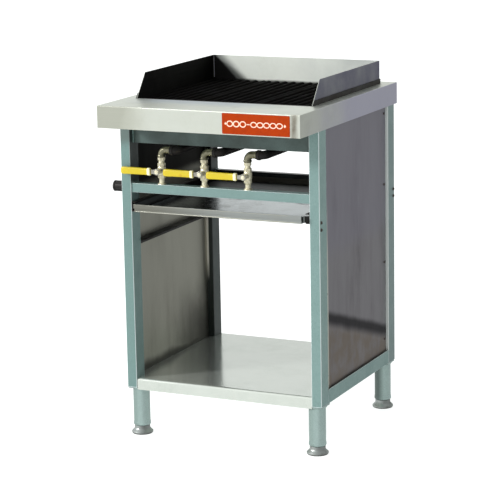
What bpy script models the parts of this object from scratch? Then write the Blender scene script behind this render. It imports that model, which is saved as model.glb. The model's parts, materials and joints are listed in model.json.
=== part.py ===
"""Free-standing gas charbroiler on an open stand, in metres with +Z up.

Every piece is placed in the cabinet's own frame: X to the right seen from the front, Y to the back,
Z up from the floor, with X = 0 on the cabinet's centre line and Y = 0 at half the deck's depth.
"""

from math import cos, pi, sin

import bmesh
import bpy
from mathutils import Matrix, Vector

# Clearance kept between pieces that touch.
GAP = 0.0003

# Deck: the folded sheet that covers the stand.
DECK_WIDTH = 0.610
DECK_DEPTH = 0.710
DECK_TOP = 0.975
DECK_EDGE = 0.062
DECK_SHEET = 0.0015
DECK_RADIUS = 0.002

# Stand: rectangular-tube legs at the corners of a 606 x 564 mm frame.
FRAME_HALF = 0.303
FRAME_FRONT = -0.229
FRAME_REAR = 0.335
LEG_WIDTH = 0.030
LEG_DEPTH = 0.050
LEG_WALL = 0.002
LEG_BOTTOM = 0.142
LEG_TOP = DECK_TOP - DECK_SHEET - GAP
BAY_HALF = FRAME_HALF - LEG_WIDTH
BAY_FRONT = FRAME_FRONT + LEG_DEPTH
BAY_REAR = FRAME_REAR - LEG_DEPTH
RAIL_SHEET = 0.002

# Firebox: an open sleeve whose rim stands above the deck.
BOX_HALF = 0.2705
BOX_FRONT = -0.191
BOX_REAR = 0.311
BOX_WALL = 0.002
BOX_BOTTOM = 0.852
RIM_TOP = DECK_TOP + 0.014
LEDGE_REACH = 0.014
LEDGE_THICK = 0.003
GRATE_LEDGE = 0.949
RADIANT_LEDGE = 0.883

# Splash guard on the firebox rim.
GUARD_TOP = DECK_TOP + 0.067
GUARD_SHEET = 0.0015
GUARD_SETBACK = 0.055

# Cooking grates: three cast sections of bars that run front to back.
GRATE_TOP = 0.972
GRATE_PITCH = 0.1775
GRATE_WIDTH = 0.1770
GRATE_BARS = 7
GRATE_SLOT = 0.0120
GRATE_END = 0.012
GRATE_TIE = 0.010

# Burners, their feed and the valves.
BURNER_PITCH = 0.133
BURNER_Z = 0.837
BURNER_RADIUS = 0.0125
BURNER_BEND = 0.018
BURNER_REAR = 0.295
VALVE_OFFSET = -0.0500
ELBOW_BEND = 0.016
ELBOW_REACH = 0.030
ELBOW_RADIUS = 0.0105
VALVE_TOP = 0.8163
VALVE_BORE = 0.0055
STEM_Z = 0.778
STEM_RADIUS = 0.0038
BALL_RADIUS = 0.0082
CHAMBER_RADIUS = 0.0118
BOSS_RADIUS = 0.0075
BOSS_REACH = 0.028
LEVER_REACH = 0.0290
LEVER_THICK = 0.0025
LEVER_HALF = 0.006
LEVER_TIP = 0.1105
SLEEVE_FROM = 0.0200
SLEEVE_TO = 0.1125
SLEEVE_HALF = 0.0105
SLEEVE_THICK = 0.0105

# Gas manifold and inlet.
MANIFOLD_SIZE = 0.026
MANIFOLD_WALL = 0.0025
MANIFOLD_FRONT = -0.225
MANIFOLD_TOP = 0.739
MANIFOLD_Y = MANIFOLD_FRONT + MANIFOLD_SIZE / 2
MANIFOLD_Z = MANIFOLD_TOP - MANIFOLD_SIZE / 2
NIPPLE_RADIUS = 0.0105
NIPPLE_BORE = 0.0075
SOCKET_RADIUS = 0.0155
SOCKET_LENGTH = 0.030
INLET_OUT = 0.0305

# Drip tray in its channels.
CHANNEL_LOW = 0.658
CHANNEL_HIGH = 0.686
CHANNEL_WIDTH = 0.012
CHANNEL_REAR = 0.310
TRAY_SHEET = 0.0012
TRAY_HALF = 0.269
TRAY_FRONT = -0.2445
TRAY_REAR = 0.300
TRAY_WALL_TOP = 0.679
LIP_HALF = 0.256
LIP_LOW = 0.671
LIP_TOP = 0.683

# Bottom shelf and its rails.
SHELF_TOP = 0.170
SHELF_SHEET = 0.0015
SHELF_LIP = 0.034
SHELF_HALF = 0.2995
SHELF_RADIUS = 0.008
SIDE_RAIL_TOP = 0.182
SIDE_RAIL_SHEET = 0.003
PANEL_X = 0.2945
PANEL_SHEET = 0.0015

# Round adjustable feet under the corners.
FOOT_X = 0.276
FOOT_FRONT_Y = -0.197
FOOT_REAR_Y = 0.303
FOOT_PLATE = 0.054
FOOT_PLATE_THICK = 0.004
FOOT_RADIUS = 0.025
FOOT_WALL = 0.0025
FOOT_BOTTOM = 0.026
SPINDLE_RADIUS = 0.008
FLANGE_RADIUS = 0.031

# The gas inlet stands out on the left, so the centre line lies this far right of the origin.
CENTRE_X = (FRAME_HALF + INLET_OUT - FOOT_X - FLANGE_RADIUS) / 2

SIDES = {"left": -1, "right": 1}
VALVES = {"left": -1, "centre": 0, "right": 1}

FINISHES = {
    "stainless": ((0.72, 0.73, 0.71), 0.32, 1.0),
    "side_steel": ((0.30, 0.30, 0.32), 0.42, 0.9),
    "polished_steel": ((0.80, 0.82, 0.80), 0.14, 1.0),
    "frame_paint": ((0.24, 0.37, 0.36), 0.45, 0.1),
    "black_iron": ((0.025, 0.024, 0.024), 0.62, 0.4),
    "cast_iron": ((0.03, 0.03, 0.03), 0.7, 0.5),
    "nickel": ((0.74, 0.72, 0.62), 0.25, 1.0),
    "lever_steel": ((0.55, 0.54, 0.50), 0.35, 1.0),
    "yellow_sleeve": ((0.90, 0.72, 0.05), 0.45, 0.0),
    "badge_red": ((0.72, 0.10, 0.03), 0.4, 0.0),
    "foot_steel": ((0.45, 0.47, 0.46), 0.35, 0.9),
}


def clear_scene():
    for item in list(bpy.data.objects):
        bpy.data.objects.remove(item, do_unlink=True)


def new_collection(name, hidden=False):
    made = bpy.data.collections.new(name)
    bpy.context.scene.collection.children.link(made)
    made.hide_render = hidden
    return made


def material(finish):
    found = bpy.data.materials.get(finish)
    if found:
        return found
    colour, roughness, metallic = FINISHES[finish]
    made = bpy.data.materials.new(finish)
    made.use_nodes = True
    shader = made.node_tree.nodes["Principled BSDF"]
    shader.inputs["Base Color"].default_value = (*colour, 1)
    shader.inputs["Roughness"].default_value = roughness
    shader.inputs["Metallic"].default_value = metallic
    made.diffuse_color = (*colour, 1)
    return made


def add(name, data, finish, parent=None):
    """A new object in the charbroiler's collection, in its parent's frame."""
    made = bpy.data.objects.new(name, data)
    PARTS.objects.link(made)
    made.parent = parent or CABINET
    data.materials.append(material(finish))
    return made


def add_cutter(name, data):
    made = bpy.data.objects.new(name, data)
    CUTTERS.objects.link(made)
    made.parent = CABINET
    made.hide_render = True
    made.display_type = "WIRE"
    return made


def box_mesh(name, low, high):
    """A box from its lowest to its highest corner, and its centre."""
    low, high = Vector(low), Vector(high)
    shape = bmesh.new()
    bmesh.ops.create_cube(shape, size=1)
    bmesh.ops.scale(shape, vec=high - low, verts=shape.verts)
    mesh = bpy.data.meshes.new(name)
    shape.to_mesh(mesh)
    shape.free()
    return mesh, (low + high) / 2


def box(name, finish, low, high, parent=None):
    mesh, centre = box_mesh(name, low, high)
    made = add(name, mesh, finish, parent)
    made.location = centre
    return made


def box_cutter(name, low, high):
    mesh, centre = box_mesh(name, low, high)
    made = add_cutter(name, mesh)
    made.location = centre
    return made


# How a flat outline drawn in a curve's own X and Y stands in the cabinet's frame.
PLANES = {
    "XY": Matrix(((1, 0, 0), (0, 1, 0), (0, 0, 1))),
    "XZ": Matrix(((1, 0, 0), (0, 0, -1), (0, 1, 0))),
    "YZ": Matrix(((0, 0, 1), (1, 0, 0), (0, 1, 0))),
}


def outline_curve(name, outlines, thickness):
    curve = bpy.data.curves.new(name, "CURVE")
    curve.dimensions = "2D"
    curve.fill_mode = "BOTH"
    curve.extrude = thickness / 2
    for outline in outlines:
        spline = curve.splines.new("POLY")
        spline.points.add(len(outline) - 1)
        for point, (across, along) in zip(spline.points, outline):
            point.co = (across, along, 0, 1)
        spline.use_cyclic_u = True
    return curve


def extruded(name, finish, plane, outlines, start, end, parent=None):
    """A flat outline, with its holes, extruded from start to end across its plane."""
    made = add(name, outline_curve(name, outlines, abs(end - start)), finish, parent)
    turn = PLANES[plane].to_4x4()
    middle = (start + end) / 2
    if plane == "XZ":
        middle = -middle
    made.matrix_local = turn @ Matrix.Translation((0, 0, middle))
    return made


def rectangle(x_low, x_high, y_low, y_high):
    return [(x_low, y_low), (x_high, y_low), (x_high, y_high), (x_low, y_high)]


def as_mesh(made):
    """The same object as a mesh with its caps welded, so that a Boolean can cut it."""
    bpy.context.view_layer.update()
    graph = bpy.context.evaluated_depsgraph_get()
    mesh = bpy.data.meshes.new_from_object(made.evaluated_get(graph))
    shape = bmesh.new()
    shape.from_mesh(mesh)
    bmesh.ops.remove_doubles(shape, verts=shape.verts, dist=0.00001)
    shape.to_mesh(mesh)
    shape.free()
    name, parent, place = made.name, made.parent, made.matrix_world.copy()
    collections = list(made.users_collection)
    bpy.data.objects.remove(made, do_unlink=True)
    solid = bpy.data.objects.new(name, mesh)
    for collection in collections:
        collection.objects.link(solid)
    solid.parent = parent
    solid.matrix_world = place
    return solid


def boolean(target, tool, operation="DIFFERENCE"):
    cut = target.modifiers.new(f"{operation.lower()} {tool.name}", "BOOLEAN")
    cut.operation = operation
    cut.object = tool
    cut.solver = "EXACT"


def outline_cutter(name, plane, outline, start, end):
    """A flat outline extruded from start to end, as a closed cutter."""
    made = as_mesh(extruded(name, "black_iron", plane, [outline], start, end))
    PARTS.objects.unlink(made)
    CUTTERS.objects.link(made)
    made.hide_render = True
    made.display_type = "WIRE"
    return made


def turned_mesh(name, profile, closed):
    mesh = bpy.data.meshes.new(name)
    shape = bmesh.new()
    points = [shape.verts.new((radius, 0, height)) for radius, height in profile]
    pairs = list(zip(points, points[1:]))
    if closed:
        pairs.append((points[-1], points[0]))
    for pair in pairs:
        shape.edges.new(pair)
    shape.to_mesh(mesh)
    shape.free()
    return mesh


def spin(made, steps):
    screw = made.modifiers.new("turn", "SCREW")
    screw.steps = steps
    screw.render_steps = steps
    screw.use_merge_vertices = True
    screw.merge_threshold = 0.00001
    screw.use_smooth_shade = True


# Turns a profile's own +Z axis towards the named direction.
AXES = {
    "+Z": Matrix.Identity(4),
    "-Y": Matrix.Rotation(pi / 2, 4, "X"),
    "-X": Matrix.Rotation(-pi / 2, 4, "Y"),
}


def turned(name, finish, profile, at, axis="+Z", closed=False, steps=24, parent=None):
    """A profile of (radius, height) points, from top to bottom, turned about an axis through a point."""
    made = add(name, turned_mesh(name, profile, closed), finish, parent)
    made.matrix_local = Matrix.Translation(at) @ AXES[axis]
    spin(made, steps)
    return made


def round_cutter(name, radius, start, end, at, axis, steps=20):
    """A cylinder from start to end along an axis through a point."""
    profile = [(0, end), (radius, end), (radius, start), (0, start)]
    made = add_cutter(name, turned_mesh(name, profile, False))
    made.matrix_local = Matrix.Translation(at) @ AXES[axis]
    spin(made, steps)
    return made


def arc(centre, radius, start, end, steps):
    """Points on an arc about a centre in a plane, angles in radians."""
    turns = [start + (end - start) * step / steps for step in range(steps + 1)]
    return [(centre[0] + radius * cos(a), centre[1] + radius * sin(a)) for a in turns]


def pipe(name, finish, points, radius):
    """A round bar along a list of points."""
    curve = bpy.data.curves.new(name, "CURVE")
    curve.dimensions = "3D"
    curve.bevel_depth = radius
    curve.bevel_resolution = 3
    curve.use_fill_caps = True
    spline = curve.splines.new("POLY")
    spline.points.add(len(points) - 1)
    for point, place in zip(spline.points, points):
        point.co = (*place, 1)
    spline.use_smooth = True
    return add(name, curve, finish)


def make_deck():
    half_width, half_depth = DECK_WIDTH / 2, DECK_DEPTH / 2
    low = (-half_width, -half_depth, DECK_TOP - DECK_EDGE)
    deck = box("deck_pan", "stainless", low, (half_width, half_depth, DECK_TOP))
    shape = bmesh.new()
    shape.from_mesh(deck.data)
    underside = [face for face in shape.faces if face.normal.z < -0.5]
    bmesh.ops.delete(shape, geom=underside, context="FACES_ONLY")
    shape.to_mesh(deck.data)
    shape.free()
    fold = deck.modifiers.new("folded edge", "BEVEL")
    fold.width = DECK_RADIUS
    fold.segments = 3
    fold.limit_method = "ANGLE"
    sheet = deck.modifiers.new("sheet", "SOLIDIFY")
    sheet.thickness = DECK_SHEET
    sheet.offset = -1
    opening = box_cutter(
        "firebox_opening",
        (-BOX_HALF - GAP, BOX_FRONT - GAP, DECK_TOP - 0.02),
        (BOX_HALF + GAP, BOX_REAR + GAP, DECK_TOP + 0.02),
    )
    boolean(deck, opening)


def make_badge():
    face = -DECK_DEPTH / 2 - GAP
    box("badge_plate", "badge_red", (0.0765, face - 0.0009, 0.9155), (0.2745, face, 0.9715))


def make_guard():
    """Three plates that stand on the firebox's upper ledges, inside its rim, their front edges slanted."""
    foot = GRATE_LEDGE + GAP
    outer = BOX_HALF - BOX_WALL - GAP
    front, rear = BOX_FRONT + BOX_WALL + GAP, BOX_REAR - BOX_WALL - GAP
    outline = [(front, foot), (rear, foot), (rear, GUARD_TOP)]
    outline += [(BOX_FRONT + GUARD_SETBACK, GUARD_TOP), (front, DECK_TOP)]
    inner = outer - GUARD_SHEET
    for side, sign in SIDES.items():
        extruded(f"splash_guard_{side}", "stainless", "YZ", [outline], sign * inner, sign * outer)
    low = (-inner + GAP, rear - GUARD_SHEET, foot)
    box("splash_guard_rear", "stainless", low, (inner - GAP, rear, GUARD_TOP))


def make_firebox():
    inner = BOX_HALF - BOX_WALL
    front, rear = BOX_FRONT + BOX_WALL, BOX_REAR - BOX_WALL
    outer_wall = rectangle(-BOX_HALF, BOX_HALF, BOX_FRONT, BOX_REAR)
    inner_wall = rectangle(-inner, inner, front, rear)
    walls = extruded("firebox", "black_iron", "XY", [outer_wall, inner_wall], BOX_BOTTOM, RIM_TOP)
    firebox = as_mesh(walls)
    into_wall = BOX_WALL / 2
    for purpose, top in (("grate", GRATE_LEDGE), ("radiant", RADIANT_LEDGE)):
        for end, near, far in (
            ("front", front - into_wall, front + LEDGE_REACH),
            ("rear", rear - LEDGE_REACH, rear + into_wall),
        ):
            low = (-inner - into_wall, near, top - LEDGE_THICK)
            ledge = box_cutter(f"{purpose}_ledge_{end}", low, (inner + into_wall, far, top))
            boolean(firebox, ledge, "UNION")
    slant = GUARD_SETBACK / (GUARD_TOP - DECK_TOP)
    sill, over = DECK_TOP + 0.001, RIM_TOP + 0.01
    clear = [(BOX_FRONT - 0.01, sill), (BOX_FRONT + BOX_WALL + 0.0005, sill)]
    clear += [(BOX_FRONT + BOX_WALL + slant * (over - sill), over), (BOX_FRONT - 0.01, over)]
    boolean(firebox, outline_cutter("rim_slant", "YZ", clear, -BOX_HALF - 0.01, BOX_HALF + 0.01))


def make_grates():
    """Each section is one casting: bars, two end bars and a tie across the middle."""
    low, high = BOX_FRONT + BOX_WALL + GAP, BOX_REAR - BOX_WALL - GUARD_SHEET - 2 * GAP
    middle = (low + high) / 2
    pitch = (GRATE_WIDTH + GRATE_SLOT) / GRATE_BARS
    halves = ((low + GRATE_END, middle - GRATE_TIE / 2), (middle + GRATE_TIE / 2, high - GRATE_END))
    for place, step in VALVES.items():
        centre = step * GRATE_PITCH
        left = centre - GRATE_WIDTH / 2
        outlines = [rectangle(left, left + GRATE_WIDTH, low, high)]
        for slot in range(1, GRATE_BARS):
            edge = left + slot * pitch
            outlines += [rectangle(edge - GRATE_SLOT, edge, *half) for half in halves]
        extruded(f"grate_{place}", "cast_iron", "XY", outlines, GRATE_LEDGE + GAP, GRATE_TOP)


def make_radiants():
    """Folded heat plates over the burners, which rest on the firebox's lower ledges."""
    low = RADIANT_LEDGE + GAP
    low_y, high_y = BOX_FRONT + BOX_WALL + 0.001, BOX_REAR - BOX_WALL - 0.001
    for place, step in VALVES.items():
        centre = step * BURNER_PITCH
        outer = [(centre - 0.054, low), (centre, low + 0.030), (centre + 0.054, low)]
        inner = [(centre + 0.049, low), (centre, low + 0.027), (centre - 0.049, low)]
        extruded(f"radiant_{place}", "cast_iron", "XZ", [outer + inner], low_y, high_y)


def make_legs():
    outer = rectangle(-LEG_WIDTH / 2, LEG_WIDTH / 2, -LEG_DEPTH / 2, LEG_DEPTH / 2)
    inside_x, inside_y = LEG_WIDTH / 2 - LEG_WALL, LEG_DEPTH / 2 - LEG_WALL
    bore = rectangle(-inside_x, inside_x, -inside_y, inside_y)
    ends = {"front": FRAME_FRONT + LEG_DEPTH / 2, "rear": FRAME_REAR - LEG_DEPTH / 2}
    for side, sign in SIDES.items():
        for end, y in ends.items():
            name = f"leg_{end}_{side}"
            leg = extruded(name, "frame_paint", "XY", [outer, bore], LEG_BOTTOM, LEG_TOP)
            leg.location.x = sign * (FRAME_HALF - LEG_WIDTH / 2)
            leg.location.y = y
    drilled = as_mesh(bpy.data.objects["leg_front_left"])
    hole = round_cutter(
        "inlet_hole",
        NIPPLE_RADIUS + GAP,
        0.0,
        0.06,
        (-BAY_HALF + 0.01, MANIFOLD_Y, MANIFOLD_Z),
        "-X",
    )
    boolean(drilled, hole)


def make_rails():
    across = BAY_HALF - GAP
    sheet = RAIL_SHEET
    top = LEG_TOP
    front, back = FRAME_FRONT + 0.020, BOX_FRONT - 2 * GAP
    apron = [(front, BOX_BOTTOM), (back, BOX_BOTTOM), (back, BOX_BOTTOM + sheet)]
    apron += [(front + sheet, BOX_BOTTOM + sheet), (front + sheet, top - sheet), (back, top - sheet)]
    apron += [(back, top), (front, top)]
    extruded("front_apron", "frame_paint", "YZ", [apron], -across, across)

    face, inside, low = FRAME_REAR - 0.002, FRAME_REAR - 0.0215, 0.873
    rear = [(face, low), (face, top), (inside, top), (inside, top - sheet)]
    rear += [(face - sheet, top - sheet), (face - sheet, low + sheet), (inside, low + sheet), (inside, low)]
    extruded("rear_apron", "frame_paint", "YZ", [rear], -across, across)

    outer = rectangle(FRAME_REAR - 0.022, FRAME_REAR - 0.002, 0.650, 0.690)
    bore = rectangle(FRAME_REAR - 0.020, FRAME_REAR - 0.004, 0.652, 0.688)
    extruded("rear_cross_rail", "frame_paint", "YZ", [outer, bore], -across, across)

    low = BURNER_Z - BURNER_RADIUS - GAP - sheet
    rest = [(0.270, low), (0.330, low), (0.330, 0.8727), (0.328, 0.8727)]
    rest += [(0.328, low + sheet), (0.270, low + sheet)]
    extruded("burner_rest", "black_iron", "YZ", [rest], -across, across)


def make_sides():
    """Lower rails, side panels and the ledges half way up, between the front and rear legs."""
    front, rear = BAY_FRONT + GAP, BAY_REAR - GAP
    flange_top = SHELF_TOP - SHELF_SHEET - GAP
    flange_low = flange_top - SIDE_RAIL_SHEET
    web = FRAME_HALF - SIDE_RAIL_SHEET
    rail = [(FRAME_HALF, LEG_BOTTOM), (FRAME_HALF, SIDE_RAIL_TOP), (web, SIDE_RAIL_TOP)]
    rail += [(web, flange_top), (0.278, flange_top), (0.278, flange_low), (web, flange_low)]
    rail += [(web, LEG_BOTTOM)]
    inside = PANEL_X - PANEL_SHEET
    foot = SHELF_TOP + GAP
    panel = [(PANEL_X, foot), (PANEL_X, LEG_TOP), (0.277, LEG_TOP)]
    panel += [(0.277, LEG_TOP - PANEL_SHEET), (inside, LEG_TOP - PANEL_SHEET), (inside, foot)]
    outer = inside - GAP
    ledge = [(outer, 0.548), (outer, 0.566), (outer - 0.028, 0.566)]
    ledge += [(outer - 0.028, 0.564), (outer - 0.002, 0.564), (outer - 0.002, 0.548)]
    pieces = (
        ("lower_side_rail", "frame_paint", rail),
        ("side_panel", "side_steel", panel),
        ("shelf_ledge", "black_iron", ledge),
    )
    for side, sign in SIDES.items():
        for name, finish, outline in pieces:
            turned_outline = [(sign * x, z) for x, z in outline]
            extruded(f"{name}_{side}", finish, "XZ", [turned_outline], front, rear)


def make_shelf():
    """A sheet with a rounded front edge and a turned-down rear edge, notched round the four legs."""
    front, rear = FRAME_FRONT + 0.0025, FRAME_REAR - 0.002
    low, bottom = SHELF_TOP - SHELF_SHEET, SHELF_TOP - SHELF_LIP
    centre = (front + SHELF_RADIUS, SHELF_TOP - SHELF_RADIUS)
    outside = arc(centre, SHELF_RADIUS, pi / 2, pi, 5)
    inside = arc(centre, SHELF_RADIUS - SHELF_SHEET, pi, pi / 2, 5)
    section = outside + [(front, bottom), (front + SHELF_SHEET, bottom)] + inside
    section += [(rear - SHELF_SHEET, low), (rear - SHELF_SHEET, bottom), (rear, bottom), (rear, SHELF_TOP)]
    shelf = extruded("bottom_shelf", "polished_steel", "YZ", [section], -SHELF_HALF, SHELF_HALF)
    shelf = as_mesh(shelf)
    notches = {"front": (front - 0.01, BAY_FRONT + GAP), "rear": (BAY_REAR - GAP, rear + 0.01)}
    for side, sign in SIDES.items():
        near, far = sorted((sign * (BAY_HALF - GAP), sign * (SHELF_HALF + 0.01)))
        for end, (start, stop) in notches.items():
            low_corner, high_corner = (near, start, bottom - 0.01), (far, stop, SHELF_TOP + 0.01)
            boolean(shelf, box_cutter(f"leg_notch_{end}_{side}", low_corner, high_corner))


def make_feet():
    top = LEG_BOTTOM - GAP
    plate_low = top - FOOT_PLATE_THICK
    inner = FOOT_RADIUS - FOOT_WALL
    thread = SPINDLE_RADIUS + GAP
    tube = [(FOOT_RADIUS, plate_low + 0.001), (FOOT_RADIUS, FOOT_BOTTOM), (thread, FOOT_BOTTOM)]
    tube += [(thread, FOOT_BOTTOM + 0.008), (inner, FOOT_BOTTOM + 0.008), (inner, plate_low + 0.001)]
    neck = 0.0225
    foot = [(0, 0.075), (SPINDLE_RADIUS, 0.075), (SPINDLE_RADIUS, FOOT_BOTTOM - GAP)]
    foot += [(neck, FOOT_BOTTOM - GAP), (neck, 0.0150), (0.0245, 0.0120), (0.0275, 0.0090)]
    foot += [(FLANGE_RADIUS - 0.001, 0.006), (FLANGE_RADIUS, 0.0045), (FLANGE_RADIUS, 0.0), (0, 0.0)]
    rows = {"front": FOOT_FRONT_Y, "rear": FOOT_REAR_Y}
    for side, sign in SIDES.items():
        for end, y in rows.items():
            x = sign * FOOT_X
            half = FOOT_PLATE / 2
            name = f"foot_tube_{end}_{side}"
            leg = turned(name, "foot_steel", tube, (x, y, 0), closed=True)
            low, high = (x - half, y - half, plate_low), (x + half, y + half, top)
            boolean(leg, box_cutter(f"foot_plate_{end}_{side}", low, high), "UNION")
            turned(f"levelling_foot_{end}_{side}", "foot_steel", foot, (x, y, 0))


def make_manifold():
    across = BAY_HALF - GAP
    low = MANIFOLD_TOP - MANIFOLD_SIZE
    wall = MANIFOLD_WALL
    rear = MANIFOLD_FRONT + MANIFOLD_SIZE
    manifold = box(
        "gas_manifold",
        "frame_paint",
        (-across, MANIFOLD_FRONT, low),
        (across, rear, MANIFOLD_TOP),
    )
    bore = box_cutter(
        "manifold_bore",
        (-across - 0.01, MANIFOLD_FRONT + wall, low + wall),
        (across - wall, rear - wall, MANIFOLD_TOP - wall),
    )
    boolean(manifold, bore)
    for place, step in VALVES.items():
        at = (valve_x(step), MANIFOLD_Y, MANIFOLD_TOP)
        outlet = round_cutter(f"outlet_{place}", VALVE_BORE, -0.01, 0.01, at, "+Z", steps=12)
        boolean(manifold, outlet)

    at = (-FRAME_HALF, MANIFOLD_Y, MANIFOLD_Z)
    thread, inside = 0.012, 0.041
    nipple = [(NIPPLE_RADIUS, thread), (NIPPLE_RADIUS, -inside), (NIPPLE_BORE, -inside), (NIPPLE_BORE, thread)]
    turned("inlet_nipple", "black_iron", nipple, at, "-X", closed=True, steps=20)
    bore, near, far = NIPPLE_RADIUS + GAP, INLET_OUT - SOCKET_LENGTH, INLET_OUT
    socket = [(SOCKET_RADIUS, far), (SOCKET_RADIUS, near), (bore, near), (bore, far)]
    turned("inlet_socket", "black_iron", socket, at, "-X", closed=True, steps=20)


def valve_x(step):
    return step * BURNER_PITCH + VALVE_OFFSET


def make_valve_body(place, x):
    """A two-ended body on the manifold, hollow for the ball, with a boss drilled for the stem."""
    top, foot = VALVE_TOP - STEM_Z - GAP, MANIFOLD_TOP + GAP - STEM_Z
    nipple, collar, seat = 0.0078, 0.0105, BALL_RADIUS + GAP
    shoulder = [(nipple, 0.0205), (collar, 0.0205), (collar, 0.0125), (CHAMBER_RADIUS, 0.009)]
    outside = [(nipple, top)] + shoulder
    outside += [(radius, -height) for radius, height in reversed(shoulder)] + [(nipple, foot)]
    inside = [(VALVE_BORE, foot), (VALVE_BORE, -seat), (seat, -seat), (seat, seat)]
    inside += [(VALVE_BORE, seat), (VALVE_BORE, top)]
    at = (x, MANIFOLD_Y, STEM_Z)
    body = turned(f"valve_body_{place}", "nickel", outside + inside, at, closed=True, steps=20)
    boolean(body, round_cutter(f"boss_{place}", BOSS_RADIUS, 0.0086, BOSS_REACH, at, "-Y"), "UNION")
    boolean(body, round_cutter(f"packing_{place}", STEM_RADIUS + GAP, 0.004, 0.04, at, "-Y"))


def make_lever(place, x):
    """Stem with its ball, lever and sleeve, which turn together about the stem's axis."""
    axis = bpy.data.objects.new(f"lever_axis_{place}", None)
    PARTS.objects.link(axis)
    axis.parent = CABINET
    axis.location = (x, MANIFOLD_Y, STEM_Z)
    ball = arc((0, 0), BALL_RADIUS, 1.08, -pi / 2, 9)
    end = LEVER_REACH + LEVER_THICK + 0.004
    profile = [(0, end), (STEM_RADIUS, end)] + [(STEM_RADIUS, ball[0][1])] + ball[:-1] + [(0, -BALL_RADIUS)]
    stem = turned(f"valve_stem_{place}", "nickel", profile, (0, 0, 0), "-Y", steps=16, parent=axis)
    at = (x - 0.02, MANIFOLD_Y, STEM_Z)
    boolean(stem, round_cutter(f"port_{place}", VALVE_BORE, -0.04, 0.0, at, "-X", steps=12))

    near, far = -LEVER_REACH - LEVER_THICK, -LEVER_REACH
    boss = 0.009
    rise = (boss**2 - LEVER_HALF**2) ** 0.5
    sweep = arc((0, 0), boss, -2.41, 2.41, 12)
    handle = [(-LEVER_TIP, LEVER_HALF), (-LEVER_TIP, -LEVER_HALF), (-rise, -LEVER_HALF)]
    eye = arc((0, 0), STEM_RADIUS + GAP, 0, 2 * pi, 16)[:-1]
    extruded(f"valve_lever_{place}", "lever_steel", "XZ", [handle + sweep, eye], near, far, axis)

    middle = (near + far) / 2
    sleeve = box(
        f"lever_sleeve_{place}",
        "yellow_sleeve",
        (-SLEEVE_TO, middle - SLEEVE_THICK / 2, -SLEEVE_HALF),
        (-SLEEVE_FROM, middle + SLEEVE_THICK / 2, SLEEVE_HALF),
        axis,
    )
    edge = sleeve.modifiers.new("soft edge", "BEVEL")
    edge.width = 0.003
    edge.segments = 2
    pocket = box_cutter(
        f"pocket_{place}",
        (x - LEVER_TIP - GAP, MANIFOLD_Y + near - GAP, STEM_Z - LEVER_HALF - GAP),
        (x, MANIFOLD_Y + far + GAP, STEM_Z + LEVER_HALF + GAP),
    )
    boolean(sleeve, pocket)


def make_feed(place, step):
    """The elbow on top of a valve and the burner, which bends back under the firebox."""
    x, burner_x = valve_x(step), step * BURNER_PITCH
    bend = arc((x + ELBOW_BEND, BURNER_Z - ELBOW_BEND), ELBOW_BEND, pi, pi / 2, 6)
    elbow = [(x, MANIFOLD_Y, VALVE_TOP)] + [(u, MANIFOLD_Y, v) for u, v in bend]
    elbow.append((x + ELBOW_REACH, MANIFOLD_Y, BURNER_Z))
    pipe(f"elbow_{place}", "nickel", elbow, ELBOW_RADIUS)

    bend = arc((burner_x - BURNER_BEND, MANIFOLD_Y + BURNER_BEND), BURNER_BEND, -pi / 2, 0, 6)
    burner = [(x + ELBOW_REACH + GAP, MANIFOLD_Y, BURNER_Z)] + [(u, v, BURNER_Z) for u, v in bend]
    burner.append((burner_x, BURNER_REAR, BURNER_Z))
    pipe(f"burner_{place}", "black_iron", burner, BURNER_RADIUS)


def make_tray():
    """Channels on the legs' inner faces, and a shallow pan that slides in them."""
    outer = BAY_HALF - GAP
    inner = outer - CHANNEL_WIDTH
    sheet = RAIL_SHEET
    section = [(inner, CHANNEL_LOW), (outer, CHANNEL_LOW), (outer, CHANNEL_HIGH), (inner, CHANNEL_HIGH)]
    section += [(inner, CHANNEL_HIGH - sheet), (outer - sheet, CHANNEL_HIGH - sheet)]
    section += [(outer - sheet, CHANNEL_LOW + sheet), (inner, CHANNEL_LOW + sheet)]
    front = FRAME_FRONT + 0.0005
    for side, sign in SIDES.items():
        outline = [(sign * x, z) for x, z in section]
        extruded(f"tray_channel_{side}", "black_iron", "XZ", [outline], front, CHANNEL_REAR)

    floor = CHANNEL_LOW + sheet + GAP
    outside = tray_outline(front, TRAY_FRONT, TRAY_REAR, TRAY_HALF, LIP_HALF)
    wall = TRAY_SHEET
    inside = tray_outline(front + wall, TRAY_FRONT + wall, TRAY_REAR - wall, TRAY_HALF - wall, LIP_HALF - wall)
    tray = as_mesh(extruded("drip_tray", "polished_steel", "XY", [outside], floor, TRAY_WALL_TOP))
    hollow = outline_cutter("tray_hollow", "XY", inside, floor + wall, TRAY_WALL_TOP + 0.01)
    boolean(tray, hollow)
    reach = LIP_HALF + 0.001
    low = (-reach, TRAY_FRONT - 0.004, LIP_LOW)
    boolean(tray, box_cutter("tray_lip", low, (reach, TRAY_FRONT + wall / 2, LIP_TOP)), "UNION")


def tray_outline(shoulder, front, rear, half, nose_half):
    """The pan seen from above, with a narrower nose and shoulders eased to find the channels."""
    right = [(nose_half, front), (nose_half, shoulder), (half, shoulder + 0.004), (half, rear)]
    return right + [(-x, y) for x, y in reversed(right)]


clear_scene()
PARTS = new_collection("charbroiler")
CUTTERS = new_collection("cutters", hidden=True)
CABINET = bpy.data.objects.new("cabinet_centre_line", None)
PARTS.objects.link(CABINET)
CABINET.location.x = CENTRE_X

make_deck()
make_badge()
make_firebox()
make_guard()
make_grates()
make_radiants()
make_legs()
make_rails()
make_sides()
make_shelf()
make_feet()
make_manifold()
make_tray()
for valve_place, valve_step in VALVES.items():
    make_valve_body(valve_place, valve_x(valve_step))
    make_lever(valve_place, valve_x(valve_step))
    make_feed(valve_place, valve_step)
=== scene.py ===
"""Looks of the gas charbroiler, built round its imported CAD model, in metres."""

import json
from math import cos, pi, sin

import bmesh
import bpy
from mathutils import Matrix, Vector

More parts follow.
